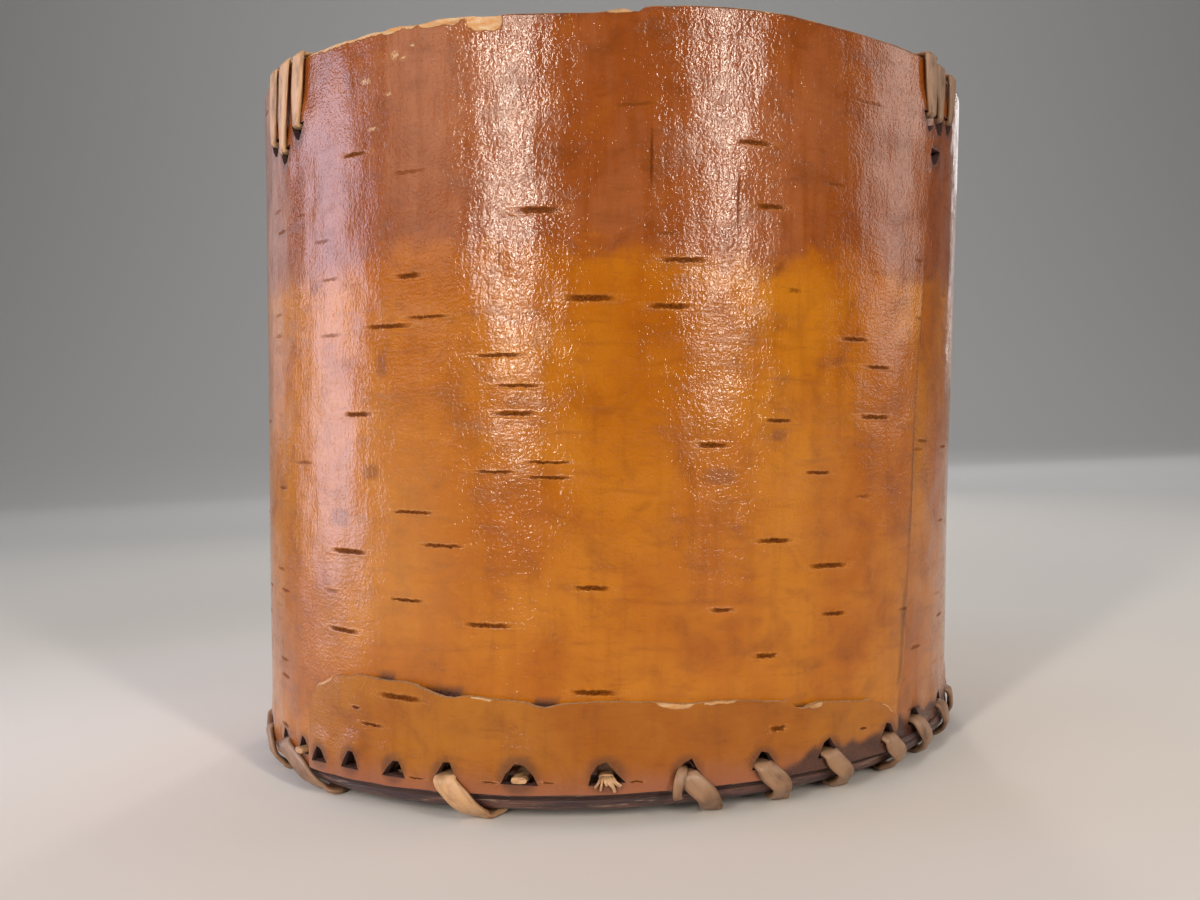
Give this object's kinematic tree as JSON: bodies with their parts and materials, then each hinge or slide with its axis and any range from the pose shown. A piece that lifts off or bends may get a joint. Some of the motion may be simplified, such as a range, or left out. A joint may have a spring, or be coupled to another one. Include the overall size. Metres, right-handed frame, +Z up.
{
  "type": "birch bark basket",
  "caption": "Round open basket of rolled birch bark with a lapped side seam, bark lining and base, a withy hoop round the foot, root lacing and root ties at the rim.",
  "frame": {"origin": "middle of the footprint on the surface that the basket stands on", "axes": "+Z up, -Y toward the front with the foot band, +X to the right of the front, where the seam is and the walls lean"},
  "size_m": [0.1873, 0.1814, 0.1639],
  "materials": {
    "outer_bark": "satin",
    "lining_bark": "matte",
    "base_bark": "matte",
    "band_bark": "satin",
    "withy": "satin",
    "root": "satin"
  },
  "bodies": {
    "root": {"outer_wall": "outer_bark", "inner_lining": "lining_bark", "base_disc": "base_bark", "foot_band": "band_bark", "foot_hoop": "withy", "lacing_run_1": "root", "lacing_run_2": "root", "lacing_run_3": "root", "lacing_run_4": "root", "loose_stitch": "root", "root_stump_1": "root", "root_stump_2": "root", "root_stump_3": "root", "rim_tie_left_1": "root", "rim_tie_left_2": "root", "rim_tie_left_3": "root", "rim_tie_right_1": "root", "rim_tie_right_2": "root", "rim_tie_right_3": "root"}
  },
  "joints": []
}
